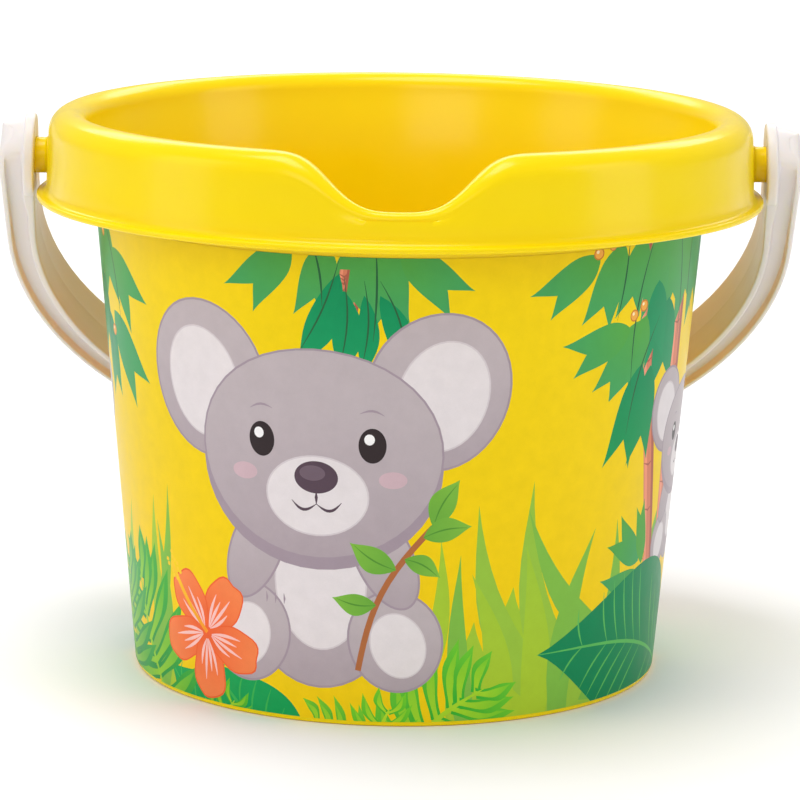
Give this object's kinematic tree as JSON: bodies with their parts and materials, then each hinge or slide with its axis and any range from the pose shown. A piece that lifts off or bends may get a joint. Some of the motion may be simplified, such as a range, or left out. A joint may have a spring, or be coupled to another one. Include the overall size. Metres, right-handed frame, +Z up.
{
  "type": "sand bucket",
  "caption": "Tapered round toy bucket with a hanging skirt round its rolled rim, a dipped pouring spout, a printed label and a press-fit swinging handle.",
  "frame": {"origin": "centre of the bucket's foot, on the ground", "axes": "+Z up along the bucket's own axis, the spout faces -Y, +X runs along the handle's pivot line"},
  "size_m": [0.1986, 0.1808, 0.14],
  "materials": {
    "bucket_plastic": "satin gloss moulded polypropylene",
    "label_film": "printed in-mould film, satin gloss",
    "handle_plastic": "cream moulded polypropylene, satin"
  },
  "bodies": {
    "bucket": {"bucket": "bucket_plastic", "skirt": "bucket_plastic", "label": "label_film"},
    "handle": {"handle": "handle_plastic"}
  },
  "joints": [
    {"name": "handle_swing", "type": "hinge", "parent": "bucket", "child": "handle", "pos_m": [0, 0, 0.1276], "axis": [1, 0, 0], "range_deg": [0, 275]}
  ]
}
